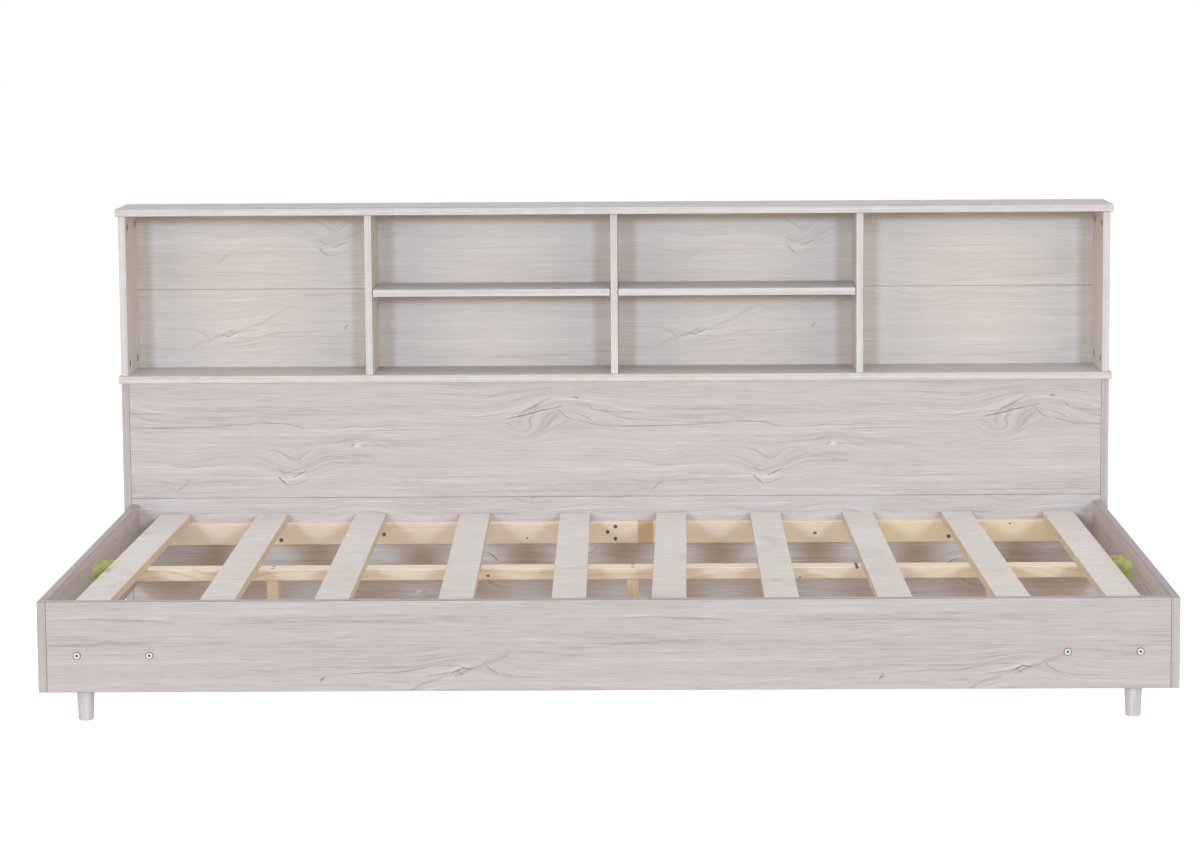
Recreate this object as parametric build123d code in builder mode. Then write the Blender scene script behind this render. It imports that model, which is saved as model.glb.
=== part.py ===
"""Bookcase daybed: a slatted bed base between two end panels, set against a shallow bookcase headboard.

Millimetres, +Z up, +X to the right of someone who stands in front of the bed, front of the bed
towards -Y. The origin is on the floor, in the middle of the whole footprint.
"""

import os
from math import asin, degrees

from build123d import *

os.makedirs("parts", exist_ok=True)

# Driving dimensions: boards and timber stock
board = 15.0
back_thickness = 3.0
timber_thick = 22.0
timber_wide = 44.0
edge_ease = 0.5
timber_round = 2.0

# Driving dimensions: bed base, for a mattress of 1905 by 990
inner_length = 1950.0
inner_depth = 1010.0
rail_lift = 60.0
rail_height = 160.0
ledger_drop = 38.0
ledger_end_gap = 50.0

# Driving dimensions: loose slats
slat_count = 10
slat_width = 61.0
slat_thickness = 17.0
slat_end_gap = 5.0
slat_edge_gap = 44.5
slat_shift = (-8.0, 3.0, 5.0, 22.0, 24.0, 10.0, 6.0, 1.0, 6.0, 6.0)
slat_skew = (-17.0, 8.0, 10.0, 18.0, 13.0, -9.0, 1.0, 14.0, 22.0, 8.0)
notched_slats = (7, 8, 9, 10)
slat_notch_radius = 5.0

# Driving dimensions: what carries the middle of the slats
support_leg_count = 3
support_leg_end_inset = 295.0
support_leg_offset = 39.0
hanger_reach = 33.0
hanger_sheet = 1.5
hanger_wing = 20.0
hanger_rise = 11.0
hanger_slack = 0.5
beam_end_gap = 2.5

# Driving dimensions: front corners and feet
block_length = 200.0
block_depth = 60.0
block_height = 44.0
foot_inset = 57.0
foot_set_in = 55.0
foot_bottom_diameter = 26.0
foot_top_diameter = 34.0
foot_round = 2.0
foot_bolt_diameter = 8.0
foot_bolt_in_block = 20.0
foot_bolt_in_foot = 28.0

# Driving dimensions: bookcase headboard
cabinet_depth = 145.0
side_overhang = 5.0
front_overhang = 5.0
mid_shelf_under = 469.0
bay_height = 326.0
bay_count = 4
shelf_lift = 159.5
shelf_side_gap = 1.0
shelf_back_gap = 1.0
headboard_lift = 8.0
headboard_split = 232.0
back_split = 162.5
back_margin = 2.0

# Cam joints: a disc in the face of one board grips a bolt that is screwed into the other
cam_diameter = 15.0
cam_depth = 12.5
cam_setback = 24.0
cam_edge_inset = 25.0
cam_lower_inset = 45.0
cam_head_inset = 40.0
cam_end_inset = 32.0
cam_end_pair = 110.0
cam_bolt_diameter = 5.0
cam_bolt_head = 6.6
cam_bolt_head_length = 4.0
cam_bolt_bite = 11.0
cam_bore = 7.2
cam_recess = 6.0
cam_recess_width = 1.2
cam_recess_depth = 1.5

# Dowels, shelf pins, bolts, nuts, screws and nails
dowel_diameter = 8.0
dowel_long_end = 18.0
dowel_short_end = 10.5
pin_diameter = 5.0
pin_in_board = 6.5
pin_proud = 8.0
pin_inset = 30.0
pin_gap = 0.3
bolt_diameter = 6.0
bolt_length = 50.0
bolt_head_diameter = 13.0
bolt_head_height = 2.0
bolt_socket = 4.0
bolt_socket_depth = 1.6
nut_diameter = 10.0
nut_length = 12.0
nut_from_tip = 6.0
rail_bolt_outer = 53.0
rail_bolt_inner = 179.0
rail_bolt_lift = 65.0
end_bolt_lifts = (30.0, 140.0)
side_bolt_set_in = 58.0
side_bolt_lift = 14.0
side_dowel_set_in = 30.0
side_dowel_lift = 30.0
screw_diameter = 4.0
screw_head = 8.0
screw_sink = 0.2
screw_recess = 4.0
screw_recess_width = 1.0
screw_recess_depth = 1.5
ledger_screw_bite = 12.0
ledger_screw_count = 6
ledger_screw_end_inset = 75.0
beam_screw_bite = 38.0
beam_screw_spread = 24.0
hanger_screw_bite = 11.0
hanger_screw_head = 7.0
hanger_screw_head_height = 1.6
hanger_screw_edge = 8.5
nail_diameter = 1.4
nail_head = 3.6
nail_head_height = 0.8
nail_bite = 12.0
nail_end_inset = 45.0
nail_column_lift = 80.0
nails_in_row = 9

# Clearances between fasteners and their holes
snug = 0.05
loose = 0.25

# Levels and faces that follow from the driving dimensions
outer_length = inner_length + 2 * board
cabinet_half = outer_length / 2 + board
depth = bolt_head_height + board + inner_depth + cabinet_depth + back_thickness
front_face = -depth / 2 + bolt_head_height
rail_back = front_face + board
headboard_face = rail_back + inner_depth
headboard_back = headboard_face + board
cabinet_back = headboard_face + cabinet_depth
well_half = inner_length / 2
well_middle = (rail_back + headboard_face) / 2
rail_top = rail_lift + rail_height
slat_seat = rail_top - ledger_drop
ledger_bottom = slat_seat - timber_wide
beam_bottom = slat_seat - timber_thick
block_top = ledger_bottom
block_bottom = block_top - block_height
mid_shelf_top = mid_shelf_under + board
top_under = mid_shelf_top + bay_height
top_height = top_under + board
shelf_under = mid_shelf_top + shelf_lift
back_seam = mid_shelf_top + back_split

# Bays of equal width, with a divider between each two
bay_width = (outer_length - (bay_count - 1) * board) / bay_count
bay_pitch = bay_width + board
divider_places = [(n + 1 - bay_count / 2) * bay_pitch for n in range(bay_count - 1)]
sides = (("left", -1), ("right", 1))

right = (1, 0, 0)
left = (-1, 0, 0)
rear = (0, 1, 0)
forward = (0, -1, 0)
up = (0, 0, 1)
down = (0, 0, -1)
stand_on = (Align.CENTER, Align.CENTER, Align.MIN)
hang_from = (Align.CENTER, Align.CENTER, Align.MAX)


def row_names(count):
    """Names for the pieces of a row, from left to right."""
    plain = {2: ["left", "right"], 3: ["left", "centre", "right"]}
    return plain.get(count, [f"{number + 1:02d}" for number in range(count)])


def panel(x_range, y_range, z_range):
    """A square board that fills three ranges, with its arrises just eased."""
    with BuildSketch(Plane.XY.offset(z_range[0])) as outline:
        with Locations((sum(x_range) / 2, sum(y_range) / 2)):
            Rectangle(x_range[1] - x_range[0], y_range[1] - y_range[0])
    extrude(outline.sketch, amount=z_range[1] - z_range[0])
    chamfer(edges(), edge_ease)


def timber(x_range, y_range, z_range, along):
    """A planed pine length, its long edges rounded."""
    with BuildSketch(Plane.XY.offset(z_range[0])) as outline:
        with Locations((sum(x_range) / 2, sum(y_range) / 2)):
            Rectangle(x_range[1] - x_range[0], y_range[1] - y_range[0])
    extrude(outline.sketch, amount=z_range[1] - z_range[0])
    fillet(edges().filter_by(along), timber_round)


def drill(planes, diameter, length):
    """A round hole at each plane, drilled from its origin against its normal."""
    if planes:
        with Locations(*planes):
            Hole(diameter / 2, length)


def bore(spots, outward, diameter, length):
    """A round hole at each spot, drilled inwards from a face that looks outward."""
    drill([Plane(origin=spot, z_dir=outward) for spot in spots], diameter, length)


def save(piece, name):
    """Label a finished sub-part and write it."""
    piece.part.label = name
    export_step(piece.part, f"parts/{name}.step")


def sided(side, near, far):
    """The X range between two distances from the middle, on the left (-1) or the right (1)."""
    return tuple(sorted((side * near, side * far)))


turned_over = Location((0, 0, 0), (180, 0, 0))


# Cam joints. Each is a plane on the joint face at the middle of the board that carries the cam:
# its normal points into the other board and its X direction to the face that shows the cam.
def cam_joint(place, outward, face):
    return Plane(origin=place, x_dir=face, z_dir=outward)


def upright_cams(x_middle, height, outward, face, inset):
    """Front and back cam joints at the top or bottom end of a standing board."""
    return [
        cam_joint((x_middle, headboard_face + inset, height), outward, face),
        cam_joint((x_middle, cabinet_back - inset, height), outward, face),
    ]


side_middle = cabinet_half - board / 2
side_cams = {}
lower_side_cams = {}
head_cams = {}
for side_name, side in sides:
    facing = (-side, 0, 0)
    side_x = side * side_middle
    side_cams[side_name] = [
        *upright_cams(side_x, top_under, up, facing, cam_edge_inset),
        *upright_cams(side_x, mid_shelf_top, down, facing, cam_edge_inset),
    ]
    lower_side_cams[side_name] = upright_cams(side_x, mid_shelf_under, up, facing, cam_lower_inset)
    head_cams[side_name] = [
        cam_joint((side * outer_length / 2, headboard_face + board / 2, height), (side, 0, 0), rear)
        for height in (
            headboard_lift + cam_end_inset,
            headboard_lift + cam_end_inset + cam_end_pair,
            headboard_split + cam_head_inset,
            mid_shelf_under - cam_head_inset,
        )
    ]

divider_cams = []
upright_top_cams = []
for place in divider_places:
    hidden_face = right if place > board else left
    divider_cams.append(
        [
            *upright_cams(place, top_under, up, hidden_face, cam_edge_inset),
            *upright_cams(place, mid_shelf_top, down, hidden_face, cam_edge_inset),
        ]
    )
    upright_top_cams.append(upright_cams(place, mid_shelf_under, up, hidden_face, cam_lower_inset))


def cam_pockets(joints):
    """Cut the board that carries the cams: a bore in its end and a round pocket in its face."""
    drill(joints, cam_bore, cam_setback)
    with Locations(*joints):
        with Locations(Location((board / 2, 0, -cam_setback), (0, 90, 0))):
            Hole(cam_diameter / 2 + snug, cam_depth)


def cam_anchors(joints):
    """Cut the board that the cam bolts are screwed into."""
    with Locations(*joints):
        with Locations(turned_over):
            Hole(cam_bolt_diameter / 2 + snug, cam_bolt_bite + loose)


# Dowels. Each is a plane on the joint face, its normal into the board that takes the short end.
standing_places = [side * side_middle for _, side in sides] + divider_places
case_middle = (headboard_face + cabinet_back) / 2
top_dowels = [Plane(origin=(x, case_middle, top_under), z_dir=up) for x in standing_places]
mid_dowels = [Plane(origin=(x, case_middle, mid_shelf_top), z_dir=down) for x in standing_places]
upright_dowels = [
    Plane(origin=(x, headboard_back, height), z_dir=forward)
    for x in divider_places
    for height in (headboard_split / 2, (headboard_split + mid_shelf_under) / 2)
]
side_dowels = [
    Plane(
        origin=(side * well_half, front_face + side_dowel_set_in, block_bottom + side_dowel_lift),
        z_dir=(side, 0, 0),
    )
    for _, side in sides
]


def dowel_long_bores(joints):
    """Cut the board that takes the long ends of dowels."""
    drill(joints, dowel_diameter + 2 * snug, dowel_long_end + loose)


def dowel_short_bores(joints):
    """Cut the board that takes the short ends of dowels."""
    if joints:
        with Locations(*joints):
            with Locations(turned_over):
                Hole(dowel_diameter / 2 + snug, dowel_short_end + loose)


def at_height(joints, low, high):
    """The joints whose origins lie between two heights."""
    return [joint for joint in joints if low <= joint.origin.Z <= high]


def at_x(joints, x_middle):
    """The joints whose origins lie within a board of this middle."""
    return [joint for joint in joints if abs(joint.origin.X - x_middle) < board]


# Bolts with barrel nuts. Each is a plane on the face under the bolt's head, its normal outward.
rail_bolt_height = rail_lift + rail_bolt_lift
rail_bolt_places = [
    side * (well_half - inset) for _, side in sides for inset in (rail_bolt_outer, rail_bolt_inner)
]
rail_bolts_at = [
    Plane(origin=(x, front_face, rail_bolt_height), x_dir=right, z_dir=forward) for x in rail_bolt_places
]
end_middle = well_half + board / 2
end_bolts_at = [
    Plane(origin=(side * end_middle, headboard_back, rail_lift + lift), x_dir=right, z_dir=rear)
    for _, side in sides
    for lift in end_bolt_lifts
]
side_bolt_height = block_bottom + side_bolt_lift
side_bolts_at = [
    Plane(
        origin=(side * outer_length / 2, front_face + side_bolt_set_in, side_bolt_height),
        x_dir=rear,
        z_dir=(side, 0, 0),
    )
    for _, side in sides
]
nut_depth = bolt_length - nut_from_tip


def bolt_bores(bolts, start, length):
    """A hole along each bolt, from a distance under its head."""
    drill([bolt.offset(-start) for bolt in bolts], bolt_diameter + 2 * loose, length)


def on_side(joints, side):
    """The joints on the left (-1) or the right (1) of the middle."""
    return [joint for joint in joints if side * joint.origin.X > 0]


# Countersunk screws. Each is a plane on the face that the head is flush with, its normal outward.
ledger_front = headboard_face - timber_thick
ledger_middle = slat_seat - timber_wide / 2
rear_ledger_spots = (
    (-682.0, -12.0),
    (-472.0, -1.0),
    (-16.0, 2.0),
    (0.0, 13.0),
    (0.0, -12.0),
    (679.0, -10.0),
)
rear_ledger_screws_at = [
    Plane(origin=(x, ledger_front, ledger_middle + z), z_dir=forward) for x, z in rear_ledger_spots
]
ledger_half = well_half - ledger_end_gap
front_screw_half = ledger_half - ledger_screw_end_inset
front_screw_pitch = 2 * front_screw_half / (ledger_screw_count - 1)
front_ledger_screw_places = [-front_screw_half + n * front_screw_pitch for n in range(ledger_screw_count)]
front_ledger_screws_at = [
    Plane(origin=(x, rail_back + timber_thick, ledger_middle), z_dir=rear)
    for x in front_ledger_screw_places
]
support_leg_pitch = (inner_length - 2 * support_leg_end_inset) / (support_leg_count - 1)
support_leg_places = [
    support_leg_offset + (n - (support_leg_count - 1) / 2) * support_leg_pitch
    for n in range(support_leg_count)
]
beam_screws_at = [
    Plane(origin=(x, well_middle + offset, slat_seat), z_dir=up)
    for x in support_leg_places
    for offset in (-beam_screw_spread / 2, beam_screw_spread / 2)
]


def screw_holes(screws, length):
    """Countersunk holes for screws, through the piece under their heads."""
    with Locations(*screws):
        CounterSinkHole(
            radius=screw_diameter / 2 + snug,
            counter_sink_radius=screw_head / 2 + screw_sink + snug,
            depth=length,
            counter_sink_angle=90,
        )


def pilot_holes(screws, start, length):
    """Blind holes for the points of screws, from a distance under their heads."""
    drill([screw.offset(-start) for screw in screws], screw_diameter + 2 * snug, length + loose)


# Hanger screws and back nails
hanger_bottom = beam_bottom - hanger_sheet
hanger_top = slat_seat + hanger_rise
wing_middle = timber_wide / 2 + hanger_slack + hanger_sheet + hanger_wing / 2
hanger_screws_at = [
    Plane(
        origin=(side * (well_half - hanger_sheet), well_middle + edge * wing_middle, height),
        z_dir=(-side, 0, 0),
    )
    for _, side in sides
    for edge in (-1, 1)
    for height in (hanger_bottom + hanger_screw_edge, hanger_top - hanger_screw_edge)
]
back_half = cabinet_half - back_margin
back_bottom = mid_shelf_under + back_margin
back_top = top_height - back_margin
cabinet_rear = cabinet_back + back_thickness
nail_row_half = cabinet_half - nail_end_inset
nail_row = [-nail_row_half + n * 2 * nail_row_half / (nails_in_row - 1) for n in range(nails_in_row)]
top_nails = [
    Plane(origin=(x, cabinet_rear, top_under + board / 2), z_dir=rear) for x in nail_row
]
mid_nails = [
    Plane(origin=(x, cabinet_rear, mid_shelf_under + board / 2), z_dir=rear) for x in nail_row
]
column_nails = [
    Plane(origin=(x, cabinet_rear, height), z_dir=rear)
    for x in standing_places
    for height in (mid_shelf_top + nail_column_lift, top_under - nail_column_lift)
]


def nail_head_holes(nails):
    """Holes for nails and their flush heads, through a thin back."""
    with Locations(*nails):
        CounterBoreHole(
            radius=nail_diameter / 2 + snug,
            counter_bore_radius=nail_head / 2 + snug,
            counter_bore_depth=nail_head_height + snug,
            depth=back_thickness,
        )


def nail_bores(nails):
    """Blind holes for nails, in the edge of the board behind the thin back."""
    drill([nail.offset(-back_thickness) for nail in nails], nail_diameter + 2 * snug, nail_bite + loose)


# Shelf pins, four under each half shelf. A half shelf is in each bay between two dividers.
shelf_bays = list(zip(divider_places, divider_places[1:]))
pin_height = shelf_under - pin_gap - pin_diameter / 2
pins_at = [
    Plane(origin=(x_face, y, pin_height), z_dir=outward)
    for low, high in shelf_bays
    for x_face, outward in ((low + board / 2, right), (high - board / 2, left))
    for y in (headboard_face + pin_inset, cabinet_back - pin_inset)
]


def pin_bores(pins):
    """Blind holes for shelf pins."""
    drill(pins, pin_diameter + 2 * snug, pin_in_board + loose)


case_range = (headboard_face, cabinet_back)
shelf_range = (headboard_face - front_overhang, cabinet_back)
top_half = cabinet_half + side_overhang
all_case_cams = [joint for joints in [*side_cams.values(), *divider_cams] for joint in joints]
all_under_cams = [joint for joints in [*lower_side_cams.values(), *upright_top_cams] for joint in joints]

# Top board: the bookcase's lid, over sides and dividers
with BuildPart() as top_board:
    panel((-top_half, top_half), shelf_range, (top_under, top_height))
    cam_anchors(at_height(all_case_cams, top_under, top_height))
    dowel_short_bores(top_dowels)
    nail_bores(top_nails)
save(top_board, "top_board")

# Mid shelf: the long board on the headboard, which the bays stand on
with BuildPart() as mid_shelf:
    panel((-top_half, top_half), shelf_range, (mid_shelf_under, mid_shelf_top))
    cam_anchors(at_height(all_case_cams, mid_shelf_under, mid_shelf_top))
    cam_anchors(all_under_cams)
    dowel_short_bores(mid_dowels)
    nail_bores(mid_nails)
save(mid_shelf, "mid_shelf")

# Upper sides: the ends of the open bays
for side_name, side in sides:
    with BuildPart() as upper_side:
        panel(sided(side, cabinet_half - board, cabinet_half), case_range, (mid_shelf_top, top_under))
        cam_pockets(side_cams[side_name])
        dowel_long_bores(at_x([*top_dowels, *mid_dowels], side * side_middle))
        nail_bores(at_x(column_nails, side * side_middle))
    save(upper_side, f"upper_side_{side_name}")

# Dividers between the bays
for name, place, cams in zip(row_names(len(divider_places)), divider_places, divider_cams):
    with BuildPart() as divider:
        panel((place - board / 2, place + board / 2), case_range, (mid_shelf_top, top_under))
        cam_pockets(cams)
        dowel_long_bores(at_x([*top_dowels, *mid_dowels], place))
        nail_bores(at_x(column_nails, place))
        pin_bores(at_x(pins_at, place))
    save(divider, f"divider_{name}")

# Half shelves: loose boards on pins, in the two middle bays
for name, (low, high) in zip(row_names(len(shelf_bays)), shelf_bays):
    with BuildPart() as shelf:
        panel(
            (low + board / 2 + shelf_side_gap, high - board / 2 - shelf_side_gap),
            (headboard_face, cabinet_back - shelf_back_gap),
            (shelf_under, shelf_under + board),
        )
    save(shelf, f"shelf_{name}")

# Back: two thin strips nailed on behind the bays, with their seam near the half shelves
for name, low, high in (("lower", back_bottom, back_seam), ("upper", back_seam, back_top)):
    with BuildPart() as back_panel:
        with BuildSketch(Plane.XY.offset(low)):
            with Locations((0, cabinet_back + back_thickness / 2)):
                Rectangle(2 * back_half, back_thickness)
        extrude(amount=high - low)
        nail_head_holes(at_height([*top_nails, *mid_nails, *column_nails], low, high))
    save(back_panel, f"back_panel_{name}")

# Lower sides: they stand on the floor and close the headboard's ends
for side_name, side in sides:
    with BuildPart() as lower_side:
        panel(sided(side, cabinet_half - board, cabinet_half), case_range, (0, mid_shelf_under))
        cam_pockets(lower_side_cams[side_name])
        cam_anchors(head_cams[side_name])
    save(lower_side, f"lower_side_{side_name}")

# Headboard: two boards, one above the other, between the lower sides
all_head_cams = [joint for joints in head_cams.values() for joint in joints]
for name, low, high in (
    ("lower", headboard_lift, headboard_split),
    ("upper", headboard_split, mid_shelf_under),
):
    with BuildPart() as headboard:
        panel((-outer_length / 2, outer_length / 2), (headboard_face, headboard_back), (low, high))
        cam_pockets(at_height(all_head_cams, low, high))
        dowel_short_bores(at_height(upright_dowels, low, high))
        pilot_holes(at_height(rear_ledger_screws_at, low, high), timber_thick, ledger_screw_bite)
        bolt_bores(at_height(end_bolts_at, low, high), 0, board)
    save(headboard, f"headboard_{name}")

# Uprights: hidden boards behind the headboard that carry the mid shelf under the dividers
for name, place, cams in zip(row_names(len(divider_places)), divider_places, upright_top_cams):
    with BuildPart() as upright:
        panel(
            (place - board / 2, place + board / 2),
            (headboard_back, cabinet_back),
            (0, mid_shelf_under),
        )
        cam_pockets(cams)
        dowel_long_bores(at_x(upright_dowels, place))
    save(upright, f"upright_{name}")

# Front rail, between the end panels
with BuildPart() as front_rail:
    panel((-well_half, well_half), (front_face, rail_back), (rail_lift, rail_top))
    bolt_bores(rail_bolts_at, 0, board)
    pilot_holes(front_ledger_screws_at, timber_thick, ledger_screw_bite)
save(front_rail, "front_rail")

# End panels: they run from the front of the bed to the headboard
for side_name, side in sides:
    with BuildPart() as end_panel:
        panel(
            sided(side, well_half, well_half + board),
            (front_face, headboard_face),
            (rail_lift, rail_top),
        )
        bolt_bores(on_side(side_bolts_at, side), 0, board)
        bolt_bores(on_side(end_bolts_at, side), board, bolt_length - board + loose)
        dowel_short_bores(on_side(side_dowels, side))
        bore(
            [
                (side * (well_half + board), headboard_back - nut_depth, rail_lift + lift)
                for lift in end_bolt_lifts
            ],
            (side, 0, 0),
            nut_diameter + 2 * snug,
            (board + nut_length) / 2 + loose,
        )
        bore(
            [(side * well_half, spot.origin.Y, spot.origin.Z) for spot in on_side(hanger_screws_at, side)],
            (-side, 0, 0),
            screw_diameter + 2 * snug,
            hanger_screw_bite + loose,
        )
    save(end_panel, f"end_panel_{side_name}")

# Ledgers: pine battens that the slats' ends lie on
ledger_range = (-ledger_half, ledger_half)
with BuildPart() as ledger_rear:
    timber(ledger_range, (ledger_front, headboard_face), (ledger_bottom, slat_seat), Axis.X)
    screw_holes(rear_ledger_screws_at, timber_thick)
save(ledger_rear, "ledger_rear")

with BuildPart() as ledger_front_batten:
    timber(ledger_range, (rail_back, rail_back + timber_thick), (ledger_bottom, slat_seat), Axis.X)
    screw_holes(front_ledger_screws_at, timber_thick)
save(ledger_front_batten, "ledger_front")

# Centre beam under the middle of the slats, its ends in steel hangers
beam_half = well_half - beam_end_gap
beam_range = (well_middle - timber_wide / 2, well_middle + timber_wide / 2)
with BuildPart() as centre_beam:
    timber((-beam_half, beam_half), beam_range, (beam_bottom, slat_seat), Axis.X)
    screw_holes(beam_screws_at, timber_thick)
save(centre_beam, "centre_beam")

# Beam hangers: bent sheet with a trough for the beam and a wing each side of it
for side_name, side in sides:
    with BuildPart() as hanger:
        trough_foot = (side * well_half, well_middle, hanger_bottom)
        trough_plane = Plane(origin=trough_foot, x_dir=rear, z_dir=(-side, 0, 0))
        cheek_inner = timber_wide / 2 + hanger_slack
        cheek_outer = cheek_inner + hanger_sheet
        rise = hanger_top - hanger_bottom
        up_sign = 1 if side < 0 else -1
        with BuildSketch(trough_plane):
            with Locations((0, up_sign * hanger_sheet / 2)):
                Rectangle(2 * cheek_outer, hanger_sheet)
            for edge in (-1, 1):
                with Locations((edge * (cheek_inner + hanger_sheet / 2), up_sign * rise / 2)):
                    Rectangle(hanger_sheet, rise)
        extrude(amount=hanger_reach)
        with BuildSketch(trough_plane):
            for edge in (-1, 1):
                with Locations((edge * wing_middle, up_sign * rise / 2)):
                    Rectangle(hanger_wing, rise)
        extrude(amount=hanger_sheet)
        bore(
            [
                (spot.origin.X, spot.origin.Y, spot.origin.Z)
                for spot in on_side(hanger_screws_at, side)
            ],
            (-side, 0, 0),
            screw_diameter + 2 * loose,
            hanger_sheet,
        )
    save(hanger, f"beam_hanger_{side_name}")

# Support legs: pine offcuts on end, from the floor to the beam
for name, place in zip(row_names(support_leg_count), support_leg_places):
    with BuildPart() as support_leg:
        timber(
            (place - timber_thick / 2, place + timber_thick / 2),
            beam_range,
            (0, beam_bottom),
            Axis.Z,
        )
        pilot_holes(at_x(beam_screws_at, place), timber_thick, beam_screw_bite)
    save(support_leg, f"support_leg_{name}")

# Slats: loose plywood strips, a little out of square with the bed, as they are laid by hand.
# Some have a half-round notch in the middle of their rear end, left from a hole on the saw line.
slat_length = inner_depth - 2 * slat_end_gap
slat_pitch = (inner_length - slat_width - 2 * slat_edge_gap) / (slat_count - 1)
first_slat = -well_half + slat_edge_gap + slat_width / 2
for index in range(slat_count):
    slat_middle = first_slat + index * slat_pitch + slat_shift[index % len(slat_shift)]
    slat_turn = degrees(asin(slat_skew[index % len(slat_skew)] / slat_length))
    with BuildPart() as slat:
        with BuildSketch(Plane.XY.offset(slat_seat)):
            with Locations(Location((slat_middle, well_middle), slat_turn)):
                Rectangle(slat_width, slat_length)
        extrude(amount=slat_thickness)
        chamfer(slat.edges(), edge_ease)
        if index + 1 in notched_slats:
            with Locations(Location((slat_middle, well_middle, slat_seat), slat_turn)):
                with Locations((0, slat_length / 2, 0)):
                    Cylinder(slat_notch_radius, slat_thickness, align=stand_on, mode=Mode.SUBTRACT)
    save(slat, f"slat_{index + 1:02d}")

# Corner blocks: they tie rail and end panel together over each front foot
foot_x = well_half - foot_inset
foot_y = front_face + foot_set_in
foot_bolt_bore = foot_bolt_diameter + 2 * snug
for side_name, side in sides:
    with BuildPart() as corner_block:
        timber(
            sided(side, well_half - block_length, well_half),
            (rail_back, rail_back + block_depth),
            (block_bottom, block_top),
            Axis.X,
        )
        bolt_bores(on_side(rail_bolts_at, side), board, bolt_length - board + loose)
        bolt_bores(on_side(side_bolts_at, side), board, bolt_length - board + loose)
        dowel_long_bores(on_side(side_dowels, side))
        bore(
            [(x, front_face + nut_depth, block_bottom) for x in rail_bolt_places if side * x > 0],
            down,
            nut_diameter + 2 * snug,
            rail_bolt_height - block_bottom + nut_length / 2 + loose,
        )
        bore(
            [(side * (outer_length / 2 - nut_depth), front_face + side_bolt_set_in, block_bottom)],
            down,
            nut_diameter + 2 * snug,
            side_bolt_lift + nut_length / 2 + loose,
        )
        bore([(side * foot_x, foot_y, block_bottom)], down, foot_bolt_bore, foot_bolt_in_block + loose)
    save(corner_block, f"corner_block_{side_name}")

# Front feet: turned and tapered
for side_name, side in sides:
    with BuildPart() as foot:
        with Locations((side * foot_x, foot_y, 0)):
            Cone(foot_bottom_diameter / 2, foot_top_diameter / 2, block_bottom, align=stand_on)
        fillet(foot.edges().group_by(Axis.Z)[0], foot_round)
        bore([(side * foot_x, foot_y, block_bottom)], up, foot_bolt_bore, foot_bolt_in_foot + loose)
    save(foot, f"foot_{side_name}")

with BuildPart() as foot_bolts:
    with Locations(*[(side * foot_x, foot_y, block_bottom - foot_bolt_in_foot) for _, side in sides]):
        Cylinder(foot_bolt_diameter / 2, foot_bolt_in_foot + foot_bolt_in_block, align=stand_on)
save(foot_bolts, "foot_bolts")

# Cam discs, each with a cross recess in its face and a bore for the head of its bolt
every_cam = [*all_case_cams, *all_under_cams, *all_head_cams]
with BuildPart() as cam_locks:
    with Locations(*every_cam):
        with Locations(Location((board / 2, 0, -cam_setback), (0, 90, 0))):
            Cylinder(cam_diameter / 2, cam_depth - snug, align=hang_from)
            with Locations((0, 0, -cam_recess_depth / 2)):
                Box(cam_recess, cam_recess_width, cam_recess_depth, mode=Mode.SUBTRACT)
                Box(cam_recess_width, cam_recess, cam_recess_depth, mode=Mode.SUBTRACT)
        with Locations((0, 0, -cam_setback - snug)):
            Cylinder(cam_bore / 2, cam_setback, align=stand_on, mode=Mode.SUBTRACT)
save(cam_locks, "cam_locks")

with BuildPart() as cam_bolts:
    with Locations(*every_cam):
        with Locations((0, 0, -cam_setback)):
            Cylinder(cam_bolt_diameter / 2, cam_setback + cam_bolt_bite, align=stand_on)
            Cylinder(cam_bolt_head / 2, cam_bolt_head_length, align=stand_on)
save(cam_bolts, "cam_bolts")

# Dowels with chamfered ends
with BuildPart() as dowels:
    every_dowel = [*top_dowels, *mid_dowels, *upright_dowels, *side_dowels]
    with Locations(*[joint.offset(-dowel_long_end) for joint in every_dowel]):
        Cylinder(dowel_diameter / 2, dowel_long_end + dowel_short_end, align=stand_on)
    chamfer(dowels.edges().filter_by(GeomType.CIRCLE), 2 * edge_ease)
save(dowels, "dowels")

# Shelf pins
with BuildPart() as shelf_pins:
    with Locations(*[pin.offset(-pin_in_board) for pin in pins_at]):
        Cylinder(pin_diameter / 2, pin_in_board + pin_proud, align=stand_on)
save(shelf_pins, "shelf_pins")


def bolt_shapes(bolts):
    """Flat-headed bolts with six-sided sockets."""
    with Locations(*bolts):
        Cylinder(bolt_head_diameter / 2, bolt_head_height, align=stand_on)
        Cylinder(bolt_diameter / 2, bolt_length, align=hang_from)
    rims = edges().filter_by(GeomType.CIRCLE)
    chamfer(rims.filter_by(lambda rim: rim.radius > bolt_diameter), edge_ease)
    with BuildSketch(*[bolt.offset(bolt_head_height) for bolt in bolts]) as sockets:
        RegularPolygon(bolt_socket / 2, 6, major_radius=False)
    extrude(sockets.sketch, amount=-bolt_socket_depth, mode=Mode.SUBTRACT)


with BuildPart() as rail_bolts:
    bolt_shapes(rail_bolts_at)
save(rail_bolts, "rail_bolts")

with BuildPart() as end_bolts:
    bolt_shapes([*end_bolts_at, *side_bolts_at])
save(end_bolts, "end_bolts")

# Barrel nuts: upright in the corner blocks, and across the rear ends of the end panels
with BuildPart() as barrel_nuts:
    with Locations(*[bolt.offset(-nut_depth).origin for bolt in [*rail_bolts_at, *side_bolts_at]]):
        Cylinder(nut_diameter / 2, nut_length)
    with Locations(*[bolt.offset(-nut_depth).origin for bolt in end_bolts_at]):
        Cylinder(nut_diameter / 2, nut_length, rotation=(0, 90, 0))
    bolt_bores([*rail_bolts_at, *side_bolts_at, *end_bolts_at], board, bolt_length)
save(barrel_nuts, "barrel_nuts")


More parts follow.
